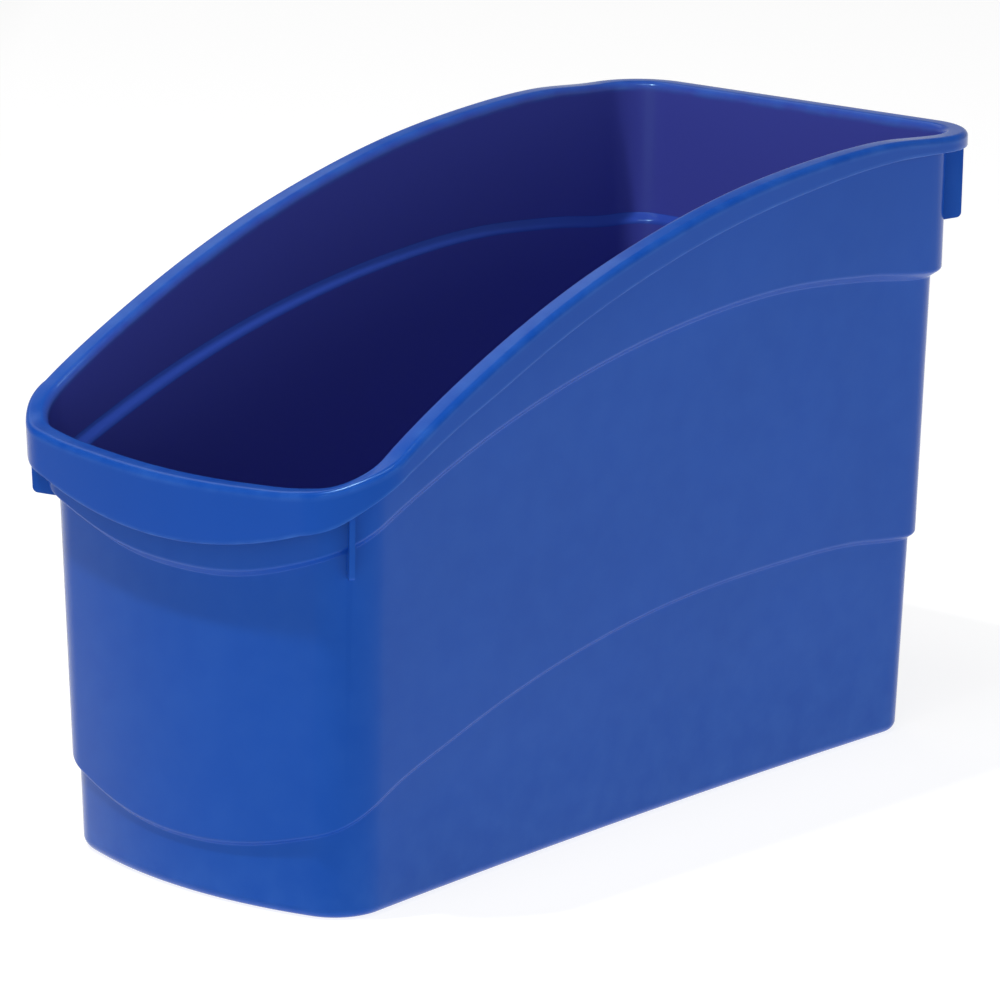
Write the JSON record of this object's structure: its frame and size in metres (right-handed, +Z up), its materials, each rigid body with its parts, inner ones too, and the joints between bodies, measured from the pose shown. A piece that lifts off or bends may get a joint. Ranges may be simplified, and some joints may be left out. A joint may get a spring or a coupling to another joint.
{
  "type": "book tub",
  "caption": "Narrow deep open-topped plastic book tub with a low bowed front, a high back, an S-curved rim with a down-turned skirt, stepped walls and corner webs",
  "frame": {"origin": "centre of the bounding box, on the flat underside that the tub stands on", "axes": "X is the width, -Y points out of the low bowed front, +Y to the high back, and +Z is up"},
  "size_m": [0.1824, 0.3621, 0.2428],
  "materials": {
    "blue_polypropylene": "injection-moulded polypropylene, royal blue all through, satin outside and a little glossier on the rim"
  },
  "bodies": {
    "root": {"book_tub": "blue_polypropylene"}
  },
  "joints": []
}
